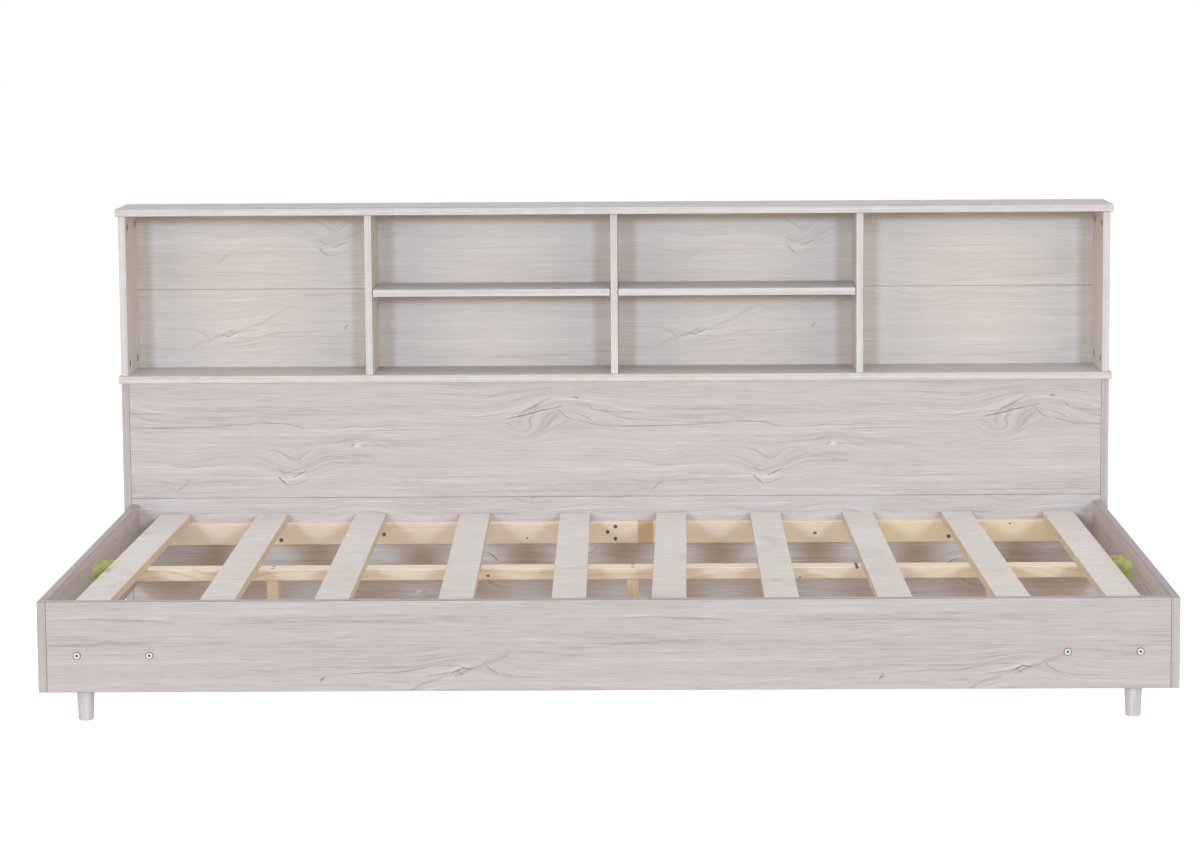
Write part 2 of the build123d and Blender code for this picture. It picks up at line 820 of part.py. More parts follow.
def screw_shapes(screws, length):
    """Countersunk screws with cross recesses, their heads just under the face."""
    head_height = (screw_head - screw_diameter) / 2
    with Locations(*[screw.offset(-screw_sink) for screw in screws]):
        Cylinder(screw_diameter / 2, length - screw_sink, align=hang_from)
        Cone(screw_diameter / 2, screw_head / 2, head_height, align=hang_from)
        with Locations((0, 0, -screw_recess_depth / 2)):
            Box(screw_recess, screw_recess_width, screw_recess_depth, mode=Mode.SUBTRACT)
            Box(screw_recess_width, screw_recess, screw_recess_depth, mode=Mode.SUBTRACT)


with BuildPart() as ledger_screws:
    screw_shapes([*rear_ledger_screws_at, *front_ledger_screws_at], timber_thick + ledger_screw_bite)
save(ledger_screws, "ledger_screws")

with BuildPart() as beam_screws:
    screw_shapes(beam_screws_at, timber_thick + beam_screw_bite)
save(beam_screws, "beam_screws")

# Hanger screws with round heads
with BuildPart() as hanger_screws:
    with Locations(*hanger_screws_at):
        Cylinder(hanger_screw_head / 2, hanger_screw_head_height, align=stand_on)
        Cylinder(screw_diameter / 2, hanger_sheet + hanger_screw_bite, align=hang_from)
save(hanger_screws, "hanger_screws")

# Back nails, their heads flush with the thin back
with BuildPart() as back_nails:
    with Locations(*top_nails, *mid_nails, *column_nails):
        Cylinder(nail_head / 2, nail_head_height, align=hang_from)
        Cylinder(nail_diameter / 2, back_thickness + nail_bite, align=hang_from)
save(back_nails, "back_nails")

print("overall", 2 * top_half, "by", depth, "by", top_height)
print("bay width", bay_width, "slat pitch", slat_pitch, "slat length", slat_length)
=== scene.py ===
# %% [markdown]
# # A bookcase daybed in whitewashed oak print
#
# The real daybed is flat-pack furniture. Its boards are chipboard, covered with a paper that is
# printed to look like whitewashed oak, and their edges are covered with a paler plastic strip.
# The slats are plywood with the print on their upper face, and the battens are raw pine.
# Every board, batten and fitting comes from the CAD model at its real size and place. What is left
# for this lesson is how they look, so nearly all of it is about finishes made from shader nodes.

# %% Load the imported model
import math

import bpy
from mathutils import Matrix, Vector


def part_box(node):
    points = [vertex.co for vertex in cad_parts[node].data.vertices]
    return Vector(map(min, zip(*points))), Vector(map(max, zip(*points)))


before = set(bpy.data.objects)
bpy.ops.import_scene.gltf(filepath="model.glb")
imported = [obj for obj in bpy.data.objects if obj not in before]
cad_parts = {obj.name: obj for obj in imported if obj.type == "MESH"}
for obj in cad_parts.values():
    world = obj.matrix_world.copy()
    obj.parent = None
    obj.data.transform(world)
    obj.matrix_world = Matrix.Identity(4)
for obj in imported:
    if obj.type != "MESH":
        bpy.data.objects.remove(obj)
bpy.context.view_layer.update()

# %% [markdown]
# ## The camera
#
# A photograph of furniture is taken from far away with a long lens, so that boards which are
# parallel stay nearly parallel in the picture. The camera's place and turn were worked out from the
# bed's own edges. It stands six metres back, at the height of a person's chest, and looks down by
# six degrees. The lens is shifted, as architects do, because the picture is a crop of a larger one.

# %% Camera
picture_width = 1200
sensor_width = 36.0
focal_pixels = 3253.45
camera_place = Vector((0.09334, -6.1292, 1.31368))
camera_yaw = math.radians(0.4749)
camera_pitch = math.radians(6.1444)
camera_roll = math.radians(-0.3433)
centre_right_by = 33.3
centre_up_by = 110.1

forward = Vector((
    -math.sin(camera_yaw) * math.cos(camera_pitch),
    math.cos(camera_yaw) * math.cos(camera_pitch),
    -math.sin(camera_pitch),
))
level_right = Vector((math.cos(camera_yaw), math.sin(camera_yaw), 0.0))
level_up = level_right.cross(forward)
right = math.cos(camera_roll) * level_right + math.sin(camera_roll) * level_up
up = -math.sin(camera_roll) * level_right + math.cos(camera_roll) * level_up

camera_data = bpy.data.cameras.new("camera")
camera_data.sensor_width = sensor_width
camera_data.lens = focal_pixels * sensor_width / picture_width
camera_data.shift_x = -centre_right_by / picture_width
camera_data.shift_y = -centre_up_by / picture_width
camera = bpy.data.objects.new("camera", camera_data)
turn = Matrix((right, up, -forward)).transposed()
camera.matrix_world = Matrix.Translation(camera_place) @ turn.to_4x4()
bpy.context.scene.collection.objects.link(camera)
bpy.context.scene.camera = camera
print("lens", round(camera_data.lens, 1), "mm")

# %% [markdown]
# ## Studio light
#
# The photograph was lit by two soft boxes far back, one each side of the camera and a little above
# it: each divider of the bookcase has a soft shadow on both sides. White walls and a ceiling throw
# warmer light back. The same is built here from two cool square area lights in front, two warm
# fills further round, two weak ones behind, a large one overhead, and a pale warm world.

# %% Lights and the room
def aim(thing, place, target):
    """Put a light somewhere and point it at a place."""
    thing.location = place
    thing.rotation_euler = (Vector(target) - Vector(place)).to_track_quat("-Z", "Y").to_euler()


def soft_box(name, place, target, size, power, colour):
    """A square area light, as a photographer's soft box."""
    data = bpy.data.lights.new(name, "AREA")
    data.shape = "SQUARE"
    data.size = size
    data.energy = power
    data.color = colour
    light = bpy.data.objects.new(name, data)
    light.visible_camera = False
    aim(light, place, target)
    bpy.context.scene.collection.objects.link(light)


bed_middle = (0.0, 0.1, 0.4)
key_colour = (0.618, 0.819, 1.000)
key_power = 1020.5
fill_colour = (1.0, 0.86, 0.72)
fill_power = 190.0
rear_colour = (0.80, 0.90, 1.0)
rear_power = 210.0
sky_colour = (0.622, 0.800, 1.000)
sky_power = 158.1
room_colour = (1.000, 0.750, 0.530)
room_strength = 0.371
key_place = Vector((5.0, -19.5, 4.2))
key_size = 2.0
fill_place = Vector((7.0, -7.0, 1.8))
fill_size = 5.0
rear_place = Vector((4.5, 8.0, 1.5))
rear_size = 3.0
sky_place = (0.0, 0.0, 5.0)
sky_size = 4.0
for side_name, side in (("left", -1), ("right", 1)):
    mirror = Vector((side, 1, 1))
    soft_box(f"soft_box_{side_name}", key_place * mirror, bed_middle, key_size, key_power, key_colour)
    soft_box(f"fill_{side_name}", fill_place * mirror, bed_middle, fill_size, fill_power, fill_colour)
    soft_box(f"rear_{side_name}", rear_place * mirror, bed_middle, rear_size, rear_power, rear_colour)
soft_box("overhead", sky_place, (0.0, 0.0, 0.0), sky_size, sky_power, sky_colour)

room = bpy.data.worlds.new("white room")
bpy.context.scene.world = room
room.use_nodes = True
background = room.node_tree.nodes["Background"]
path = room.node_tree.nodes.new("ShaderNodeLightPath")
seen = room.node_tree.nodes.new("ShaderNodeBackground")
mixed = room.node_tree.nodes.new("ShaderNodeMixShader")
background.inputs["Color"].default_value = (*room_colour, 1.0)
background.inputs["Strength"].default_value = room_strength
seen.inputs["Color"].default_value = (1.0, 1.0, 1.0, 1.0)
room.node_tree.links.new(path.outputs["Is Camera Ray"], mixed.inputs["Fac"])
room.node_tree.links.new(background.outputs[0], mixed.inputs[1])
room.node_tree.links.new(seen.outputs[0], mixed.inputs[2])
room.node_tree.links.new(mixed.outputs[0], room.node_tree.nodes["World Output"].inputs["Surface"])
bpy.context.scene.view_settings.view_transform = "Standard"

# %% [markdown]
# ## Short words for shader nodes
#
# A finish made of nodes is a small calculation that runs for each point of a surface. Wiring it by
# hand takes many clicks and the same in code takes many lines, so these helpers give each common
# step a short name: a sum, a noise, a fade between two values, a mix of two colours.

# %% Node helpers
def wire(tree, value, socket):
    """Feed a socket from another socket, or set it to a plain value."""
    if isinstance(value, bpy.types.NodeSocket):
        tree.links.new(value, socket)
    else:
        socket.default_value = value


def calc(tree, operation, *values):
    """One sum, such as ADD, MULTIPLY or MULTIPLY_ADD."""
    node = tree.nodes.new("ShaderNodeMath")
    node.operation = operation
    for value, socket in zip(values, node.inputs):
        wire(tree, value, socket)
    return node.outputs[0]


def join(tree, x, y, z):
    """Three numbers as one place."""
    node = tree.nodes.new("ShaderNodeCombineXYZ")
    for value, socket in zip((x, y, z), node.inputs):
        wire(tree, value, socket)
    return node.outputs[0]


def split(tree, vector):
    """One place as three numbers."""
    node = tree.nodes.new("ShaderNodeSeparateXYZ")
    wire(tree, vector, node.inputs[0])
    return list(node.outputs)


def noise(tree, vector, detail=2.0, roughness=0.5):
    """Cloudy numbers about one half, one cloud to each unit of the place."""
    node = tree.nodes.new("ShaderNodeTexNoise")
    wire(tree, vector, node.inputs["Vector"])
    node.inputs["Scale"].default_value = 1.0
    node.inputs["Detail"].default_value = detail
    node.inputs["Roughness"].default_value = roughness
    return node.outputs[0]


def stretched_noise(tree, parts, per_metre, detail=2.0, roughness=0.5):
    """Noise that is squeezed by its own amount along each of three axes: clouds to a metre."""
    squeezed = [calc(tree, "MULTIPLY", part, count) for part, count in zip(parts, per_metre)]
    return noise(tree, join(tree, *squeezed), detail, roughness)


def fade(tree, value, low, high, to_low=0.0, to_high=1.0):
    """A soft step: to_low below low, to_high above high."""
    node = tree.nodes.new("ShaderNodeMapRange")
    node.interpolation_type = "SMOOTHSTEP"
    for put, socket in zip((value, low, high, to_low, to_high), node.inputs):
        wire(tree, put, socket)
    return node.outputs[0]


def paint(tree, factor, under, over):
    """Mix two colours."""
    node = tree.nodes.new("ShaderNodeMix")
    node.data_type = "RGBA"
    wire(tree, factor, node.inputs["Factor"])
    wire(tree, under, node.inputs[6])
    wire(tree, over, node.inputs[7])
    return node.outputs[2]


def screen(red, green, blue):
    """A colour as a screen shows it, 0 to 255, as the linear colour that the shader wants."""
    parts = [value / 255 for value in (red, green, blue)]
    linear = [v / 12.92 if v <= 0.04045 else ((v + 0.055) / 1.055) ** 2.4 for v in parts]
    return (*linear, 1.0)


def new_finish(name, **sockets):
    """A material with its main shader, and plain values for that shader's sockets."""
    material = bpy.data.materials.new(name)
    material.use_nodes = True
    tree = material.node_tree
    shader = tree.nodes["Principled BSDF"]
    for socket, value in sockets.items():
        shader.inputs[socket.replace("_", " ")].default_value = value
    return material, tree, shader


def relief(tree, shader, height, depth):
    """Bump from a height between 0 and 1, as deep as depth in metres."""
    node = tree.nodes.new("ShaderNodeBump")
    node.inputs["Distance"].default_value = depth
    wire(tree, height, node.inputs["Height"])
    tree.links.new(node.outputs[0], shader.inputs["Normal"])


def place_on_piece(tree):
    """The point's own place, in metres, which travels with the piece."""
    return split(tree, tree.nodes.new("ShaderNodeTexCoord").outputs["Object"])


def facing(tree):
    """How squarely the surface faces each axis, with its sign."""
    return split(tree, tree.nodes.new("ShaderNodeNewGeometry").outputs["True Normal"])


def is_over(tree, value, limit):
    """One where the value is over the limit, and nothing elsewhere."""
    return calc(tree, "GREATER_THAN", value, limit)


square_on = 0.9


# %% [markdown]
# ## The oak print
#
# The paper comes off a printing cylinder, so its picture of oak repeats every 970 mm along the
# grain, and boards that are cut from it show the same knots again and again. That is why the
# pattern is made once, as a group of nodes, and each board only says which part of it it shows.
#
# Two things make wood look like wood. The streaks run along the grain and bend round knots, and
# here the bend is a push of the streaks' height near each knot. Then there are cracks: thin dark
# lines that start and end in points. Each is one curved stroke.

# %% The size of the print
print_repeat = 0.970
print_across = 0.500
ring_radius = print_repeat / (2 * math.pi)

# Places where the grain bends: along, across, reach along, reach across, push, all in millimetres
bends = (
    (318, 300, 48, 30, 30),
    (-95, 415, 95, 34, -34),
    (-188, 368, 40, 22, 24),
    (70, 84, 70, 30, 18),
    (190, 150, 60, 26, -14),
    (84, 258, 34, 18, 7),
    (100, 312, 44, 22, 11),
    (452, 350, 40, 16, -10),
    (560, 180, 80, 30, 16),
    (700, 420, 90, 30, 14),
)

# Cracks: start and end along and across, bow in the middle, width, darkness, in millimetres
cracks = (
    (-40, 109, 32, 103, 2, 1.2, 0.55),
    (30, 103, 53, 84, 2, 1.6, 0.75),
    (48, 80, 108, 106, 1, 3.2, 0.45),
    (76, 95, 94, 91, 0, 1.6, 0.8),
    (88, 91, 113, 100, 0, 1.3, 1.0),
    (92, 104, 103, 96, 0, 1.6, 0.7),
    (114, 99, 156, 103, 1, 1.2, 0.55),
    (127, 110, 165, 120, 0, 2.2, 0.4),
    (160, 118, 214, 147, 2, 3.0, 0.35),
    (92, 90, 152, 89, -3, 1.1, 0.55),
    (148, 89, 232, 99, 2, 1.2, 0.65),
    (230, 99, 304, 103, 0, 1.2, 0.6),
    (10, 64, 52, 85, 2, 4.5, 0.3),
    (331, 106, 341, 113, 0, 3.2, 0.75),
    (281, 275, 301, 257, 0, 1.9, 1.0),
    (299, 257, 348, 273, -3, 1.2, 0.5),
    (281, 295, 294, 284, 0, 1.7, 0.6),
    (291, 282, 327, 292, 0, 1.5, 0.6),
    (310, 275, 341, 287, 0, 1.7, 0.85),
    (143, 279, 282, 277, 0, 1.4, 0.35),
    (352, 300, 392, 316, 3, 1.6, 0.3),
    (390, 316, 455, 307, 2, 1.6, 0.3),
    (-318, 396, -198, 406, -3, 1.2, 0.5),
    (-204, 404, -128, 438, -3, 1.8, 0.45),
    (-222, 392, -104, 418, 1, 1.8, 1.0),
    (-198, 399, -148, 425, 1, 1.8, 0.65),
    (-118, 413, -84, 391, -4, 1.4, 0.65),
    (-86, 392, 6, 378, -4, 1.3, 0.75),
    (2, 378, 122, 378, -2, 1.4, 0.8),
    (116, 378, 236, 388, -3, 1.3, 0.75),
    (230, 388, 336, 377, 3, 1.3, 0.75),
    (328, 377, 528, 382, -3, 1.2, 0.6),
    (-58, 427, -44, 409, 0, 1.5, 0.65),
    (-46, 411, 52, 406, -2, 1.2, 0.6),
    (-86, 437, -73, 436, 0, 2.4, 0.9),
    (449, 340, 508, 338, 0, 1.4, 0.5),
    (430, 338, 440, 343, 0, 2.6, 0.55),
    (72, 246, 100, 264, 0, 2.0, 0.45),
    (456, 369, 606, 372, 1, 1.3, 0.6),
    (526, 271, 770, 273, 1, 1.3, 0.32),
    (144, 13, 400, 9, -2, 1.2, 0.5),
    (380, 9, 536, 11, 1, 1.2, 0.4),
    (590, 9, 788, 4, -2, 1.2, 0.6),
    (234, 176, 380, 181, 1, 1.2, 0.55),
    (610, 176, 760, 172, 1, 1.4, 0.35),
    (640, 45, 800, 48, 1, 1.3, 0.4),
    (700, 210, 860, 214, -1, 1.4, 0.35),
    (560, 444, 740, 440, 2, 1.3, 0.4),
)

# Pale smears of whitewash, given as the cracks are
smears = (
    (296, 268, 338, 281, 0, 7.0, 0.6),
    (172, 273, 280, 272, 0, 2.4, 0.6),
    (436, 339, 452, 341, 0, 5.5, 0.9),
    (76, 88, 112, 94, 0, 6.0, 0.5),
    (-190, 398, -120, 414, 0, 6.0, 0.35),
    (-60, 414, -20, 412, 0, 5.0, 0.3),
)
print("bends", len(bends), "cracks", len(cracks))


# %% Group with named inputs and outputs
def new_group(name, inputs, outputs):
    """An empty group of nodes. Its inputs are numbers, and outputs that end in colour are colours."""
    group = bpy.data.node_groups.new(name, "ShaderNodeTree")
    for label in inputs:
        group.interface.new_socket(name=label, in_out="INPUT", socket_type="NodeSocketFloat")
    for label in outputs:
        kind = "NodeSocketColor" if label.endswith("colour") else "NodeSocketFloat"
        group.interface.new_socket(name=label, in_out="OUTPUT", socket_type=kind)
    start = group.nodes.new("NodeGroupInput")
    end = group.nodes.new("NodeGroupOutput")
    return group, start.outputs, end.inputs


def use_group(tree, group, *values):
    """Place a group in a tree, feed its inputs in order, and give its outputs."""
    node = tree.nodes.new("ShaderNodeGroup")
    node.node_tree = group
    for value, socket in zip(values, node.inputs):
        wire(tree, value, socket)
    return node.outputs


# %% One bend of the grain
def make_bend():
    """A smooth hill of height one at its centre, wrapped round the print both ways."""
    group, given, result = new_group(
        "bend",
        ("along", "across", "centre along", "centre across", "reach along", "reach across"),
        ("hill",),
    )
    half_along = print_repeat / 2
    half_across = print_across / 2
    from_along = calc(group, "SUBTRACT", given["along"], given["centre along"])
    from_across = calc(group, "SUBTRACT", given["across"], given["centre across"])
    from_along = calc(group, "WRAP", from_along, half_along, -half_along)
    from_across = calc(group, "WRAP", from_across, half_across, -half_across)
    from_along = calc(group, "DIVIDE", from_along, given["reach along"])
    from_across = calc(group, "DIVIDE", from_across, given["reach across"])
    square = calc(group, "MULTIPLY", from_along, from_along)
    distance = calc(group, "MULTIPLY_ADD", from_across, from_across, square)
    wire(group, calc(group, "EXPONENT", calc(group, "MULTIPLY", distance, -1.0)), result["hill"])
    return group


bend_group = make_bend()


# %% One stroke
end_sharpness = 0.35


def make_stroke():
    """A thin curved line, darkest in the middle and pointed at both ends, wrapped round the print."""
    group, given, result = new_group(
        "stroke",
        ("along", "across", "centre along", "centre across", "half", "slope", "bow", "width"),
        ("line",),
    )
    half_along = print_repeat / 2
    half_across = print_across / 2
    from_along = calc(group, "SUBTRACT", given["along"], given["centre along"])
    from_across = calc(group, "SUBTRACT", given["across"], given["centre across"])
    from_along = calc(group, "WRAP", from_along, half_along, -half_along)
    from_across = calc(group, "WRAP", from_across, half_across, -half_across)
    share = calc(group, "DIVIDE", from_along, given["half"])
    within = calc(group, "SUBTRACT", 1.0, calc(group, "MULTIPLY", share, share))
    within = calc(group, "MAXIMUM", within, 0.0)
    middle = calc(group, "MULTIPLY", within, given["bow"])
    middle = calc(group, "MULTIPLY_ADD", from_along, given["slope"], middle)
    off = calc(group, "DIVIDE", calc(group, "SUBTRACT", from_across, middle), given["width"])
    blur = calc(group, "EXPONENT", calc(group, "MULTIPLY", calc(group, "MULTIPLY", off, off), -1.0))
    pointed = calc(group, "POWER", within, end_sharpness)
    wire(group, calc(group, "MULTIPLY", blur, pointed), result["line"])
    return group


stroke_group = make_stroke()


def draw_strokes(tree, along, across, strokes, boldness=1.0):
    """The darkness of all strokes together. Boldness makes them all wider."""
    total = 0.0
    for start, start_across, end, end_across, bow, width, darkness in strokes:
        slope = (end_across - start_across) / (end - start)
        lean = math.hypot(1.0, slope)
        line = use_group(
            tree,
            stroke_group,
            along,
            across,
            (start + end) / 2000,
            (start_across + end_across) / 2000,
            (end - start) / 2000,
            slope,
            bow / 1000,
            boldness * width * lean / 2000,
        )[0]
        total = calc(tree, "MULTIPLY_ADD", line, darkness, total)
    return total


# %% [markdown]
# ## Streaks that never show a join
#
# A noise that is stretched along the grain makes streaks. To make it repeat every 970 mm without a
# join, the length is wound round a cylinder: the noise is read on that cylinder's skin, which comes
# back to its start after one turn. That is just how the real paper is printed.

# %% Streaks on the printing cylinder
def on_cylinder(tree, along):
    """Two coordinates on a circle that is as long as the print."""
    angle = calc(tree, "MULTIPLY", along, 1 / ring_radius)
    return (
        calc(tree, "MULTIPLY", calc(tree, "COSINE", angle), ring_radius),
        calc(tree, "MULTIPLY", calc(tree, "SINE", angle), ring_radius),
    )


def streaks(tree, ring, height, length, breadth, detail=2.0, roughness=0.5):
    """Noise in streaks of about one length by one breadth, in metres."""
    place = join(
        tree,
        calc(tree, "MULTIPLY", ring[0], 1 / length),
        calc(tree, "MULTIPLY", ring[1], 1 / length),
        calc(tree, "MULTIPLY", height, 1 / breadth),
    )
    return noise(tree, place, detail, roughness)


# %% The print itself
oak_pale = screen(222, 217, 216)
oak_middle = screen(208, 200, 199)
oak_dark = screen(190, 178, 176)
oak_crack = screen(122, 104, 100)
oak_smear = screen(232, 229, 228)
crack_boldness = 1.5

# Streaks of the print: their length along the grain and their breadth across it, in metres
slow_waver = (0.16, 0.050)
quick_waver = (0.045, 0.012)
band_size = (0.60, 0.034)
growth_size = (0.30, 0.0050)
fibre_size = (0.075, 0.0022)
pore_size = (0.012, 0.0008)

# How far the waver moves the grain, and how unsteady the hand that draws the cracks is
slow_push = 0.008
quick_push = 0.0018
hand_push = 0.0070

# How much each kind of streak counts, and how strongly pores and cracks are inked
band_weight = 0.8
growth_weight = 1.0
fibre_weight = 1.35
pore_strength = 0.22
crack_strength = 0.9


def make_oak_print():
    """The whole print as one group: give it a place on the paper, and it gives the colour there."""
    group, given, result = new_group("oak print", ("along", "across"), ("colour", "height"))
    along = given["along"]
    across = given["across"]
    ring = on_cylinder(group, along)

    # The grain's own slow waver, then a push at each knot
    slow = streaks(group, ring, across, *slow_waver, 1.0)
    quick = streaks(group, ring, across, *quick_waver, 1.0)
    waver = calc(group, "MULTIPLY_ADD", calc(group, "SUBTRACT", slow, 0.5), slow_push, across)
    waver = calc(group, "MULTIPLY_ADD", calc(group, "SUBTRACT", quick, 0.5), quick_push, waver)
    height = waver
    for centre, centre_across, reach, reach_across, push in bends:
        places = [value / 1000 for value in (centre, centre_across, reach, reach_across)]
        hill = use_group(group, bend_group, along, across, *places)[0]
        height = calc(group, "MULTIPLY_ADD", hill, push / 1000, height)

    # Broad bands, growth streaks, fine fibres and short pores
    bands = streaks(group, ring, height, *band_size, 2.0)
    growth = streaks(group, ring, height, *growth_size, 3.0, 0.65)
    fibres = streaks(group, ring, height, *fibre_size, 2.0, 0.65)
    pores = streaks(group, ring, height, *pore_size, 1.0)
    tone = calc(group, "MULTIPLY_ADD", calc(group, "SUBTRACT", bands, 0.5), band_weight, 0.5)
    tone = calc(group, "MULTIPLY_ADD", calc(group, "SUBTRACT", growth, 0.5), growth_weight, tone)
    tone = calc(group, "MULTIPLY_ADD", calc(group, "SUBTRACT", fibres, 0.5), fibre_weight, tone)
    colour = paint(group, fade(group, tone, 0.05, 0.55), oak_dark, oak_middle)
    colour = paint(group, fade(group, tone, 0.50, 1.00), colour, oak_pale)
    pore = fade(group, pores, 0.62, 0.80)
    colour = paint(group, calc(group, "MULTIPLY", pore, pore_strength), colour, oak_crack)

    # Cracks and smears are drawn a little unsteady, and broken by the fibres
    drawn = calc(group, "MULTIPLY_ADD", calc(group, "SUBTRACT", quick, 0.5), hand_push, across)
    broken = fade(group, fibres, 0.25, 0.60, 0.45, 1.0)
    smear = calc(group, "MULTIPLY", draw_strokes(group, along, drawn, smears), broken)
    colour = paint(group, calc(group, "MINIMUM", smear, 1.0), colour, oak_smear)
    crack = calc(group, "MULTIPLY", draw_strokes(group, along, drawn, cracks, crack_boldness), broken)
    crack = calc(group, "MINIMUM", crack, 1.0)
    colour = paint(group, calc(group, "MULTIPLY", crack, crack_strength), colour, oak_crack)
    wire(group, colour, result["colour"])

    # The press leaves the fibres and pores in the surface as well
    wire(group, calc(group, "MULTIPLY_ADD", pore, -0.5, fibres), result["height"])
    return group


oak_print = make_oak_print()
print("oak print nodes", len(oak_print.nodes))

# %% [markdown]
# ## The edge strip
#
# The narrow faces carry a strip of thin plastic with a print of its own: paler, with straight
# streaks along the edge, because nobody prints knots on 15 mm. Where strip and paper meet, the
# arris is scraped and a line of glue and board core shows. Its brown also stands for painted shade
# in the narrow gaps where two boards meet, and the tan on one shelf is that core with a painted
# highlight.

# %% The edge strip's print
strip_pale = screen(231, 229, 227)
strip_dark = screen(206, 199, 197)
strip_broad = (0.50, 0.0045)
strip_fine = (0.12, 0.0011)
strip_blotch = (0.03, 0.02)


def make_edge_strip():
    """The strip's print as one group, in straight streaks along the edge."""
    group, given, result = new_group("edge strip", ("along", "across"), ("colour", "height"))
    ring = on_cylinder(group, given["along"])
    broad = streaks(group, ring, given["across"], *strip_broad, 1.0)
    fine = streaks(group, ring, given["across"], *strip_fine, 2.0, 0.6)
    blotch = streaks(group, ring, given["across"], *strip_blotch, 1.0)
    tone = calc(group, "MULTIPLY_ADD", calc(group, "SUBTRACT", broad, 0.5), 1.1, 0.5)
    tone = calc(group, "MULTIPLY_ADD", calc(group, "SUBTRACT", fine, 0.5), 0.9, tone)
    tone = calc(group, "MULTIPLY_ADD", calc(group, "SUBTRACT", blotch, 0.5), 0.5, tone)
    colour = paint(group, fade(group, tone, -0.05, 0.95), strip_dark, strip_pale)
    wire(group, colour, result["colour"])
    wire(group, fine, result["height"])
    return group


edge_strip = make_edge_strip()

# %% [markdown]
# ## A board
#
# A board's finish has to know which of its faces is which. The thinnest of its three sizes tells
# which faces are broad, and the way the surface faces picks between paper, strip and arris. The
# grain runs along a named axis. The rest says which part of the print the board was cut from, and
# whether the board was turned end for end before it was fitted.
#
# Boards of one bed aren't all alike. The back panel came out paler, and the faces inside the
# bookcase are made paler as well, which is painted fill light in the shade of the bays. The strips
# of the bed base and of the lower sides are browner, the strips of the bed base that face up are
# darkened with painted shade, and along some upper edges a line of the core shows.

# %% Board finish
# The board's core colour, also painted shade for the narrow gaps where boards meet
core_and_gap_shade = screen(150, 134, 126)
# The same core with a painted highlight, as on the mid shelf's front arris
lit_core_tan = screen(230, 198, 158)
core_line = 0.8
paper_relief = 0.00012
end_shift = 0.1
seam_grey = screen(128, 116, 114)
seam_core = 0.0006
seam_edge = 0.0014
seam_strength = 0.5
# A browner strip: wear on the end panels and lower sides, and painted shade on strips that face up
worn_and_shaded_strip = screen(152, 134, 134)
raw_fibre = screen(164, 134, 104)
# Paler paper: the back panel's own paler tone, and painted fill light inside the bookcase
pale_and_fill_white = (1.0, 0.95, 0.83, 1.0)
case_inside = 0.998
axes = "XYZ"


def board_finish(name, grain, cut_along, cut_across, turned=False, arris=core_and_gap_shade,
                 raw_back=False, wash=0.0, wear=0.0, rim_shade=0.0, scraped=0.0, seam=None):
    """The finish of one board. cut_along and cut_across place the print, in metres.

    wash makes the paper paler inside the bookcase: a paler tone on the back panel, and painted fill
    light on the shaded faces in the bays. wear makes the edge strip browner. rim is painted shade
    that darkens the strip that faces up, scraped is how far down from its upper edge the board's
    core shows, and seam is the height of a dark joint line.
    """
    material, tree, shader = new_finish(f"{name} finish", Roughness=0.5, Specular_IOR_Level=0.35)
    low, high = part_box(name)
    sizes = high - low
    thick = min(range(3), key=lambda axis: sizes[axis])
    grain_axis = axes.index(grain)
    wide = 3 - thick - grain_axis
    place = place_on_piece(tree)
    turn = [calc(tree, "ABSOLUTE", part) for part in facing(tree)]
    broad = is_over(tree, turn[thick], square_on)
    end = is_over(tree, turn[grain_axis], square_on)
    side = is_over(tree, turn[wide], square_on)

    sense = -1.0 if turned else 1.0
    paper_along = calc(tree, "MULTIPLY_ADD", place[grain_axis], sense, cut_along)
    paper_across = calc(tree, "MULTIPLY_ADD", place[wide], sense, cut_across)
    paper = use_group(tree, oak_print, paper_along, paper_across)
    # Paler paper inside the bookcase: painted fill light on the shaded faces of the bays, and the back
    # panel's own paler tone
    inside = is_over(tree, case_inside, calc(tree, "ABSOLUTE", place[0]))
    paper_colour = paint(tree, calc(tree, "MULTIPLY", inside, wash), paper["colour"], pale_and_fill_white)
    if seam is not None:
        away = calc(tree, "ABSOLUTE", calc(tree, "SUBTRACT", place[2], seam))
        line = fade(tree, away, seam_core, seam_edge, seam_strength, 0.0)
        paper_colour = paint(tree, line, paper_colour, seam_grey)

    along_end = calc(tree, "MULTIPLY", end, calc(tree, "SUBTRACT", place[wide], place[grain_axis]))
    strip_along = calc(tree, "ADD", place[grain_axis], along_end)
    strip_across = calc(tree, "MULTIPLY_ADD", end, end_shift, place[thick])
    strip = use_group(tree, edge_strip, strip_along, calc(tree, "ADD", strip_across, cut_along))
    strip_colour = paint(tree, wear, strip["colour"], worn_and_shaded_strip)
    # Painted shade: the strip that faces up is darkened
    upward = is_over(tree, facing(tree)[2], square_on)
    strip_colour = paint(tree, calc(tree, "MULTIPLY", upward, rim_shade), strip_colour, worn_and_shaded_strip)

    squarely = calc(tree, "MAXIMUM", broad, calc(tree, "MAXIMUM", end, side))
    colour = paint(tree, broad, strip_colour, paper_colour)
    # Chamfered arrises take the core colour, which also paints the shade in the gaps between boards
    colour = paint(tree, squarely, arris, colour)
    if scraped:
        near_top = is_over(tree, place[2], high.z - scraped)
        upright = calc(tree, "SUBTRACT", 1.0, is_over(tree, facing(tree)[2], 0.5))
        shown = calc(tree, "MULTIPLY", calc(tree, "MULTIPLY", near_top, upright), core_line)
        colour = paint(tree, shown, colour, arris)
    if raw_back:
        behind = is_over(tree, facing(tree)[thick], square_on)
        colour = paint(tree, behind, colour, raw_fibre)
    tree.links.new(colour, shader.inputs["Base Color"])
    height = calc(tree, "MULTIPLY", broad, paper["height"])
    relief(tree, shader, height, paper_relief)
    return material


def dress(name, material):
    """Give a piece of the CAD model its finish."""
    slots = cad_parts[name].data.materials
    slots.clear()
    slots.append(material)


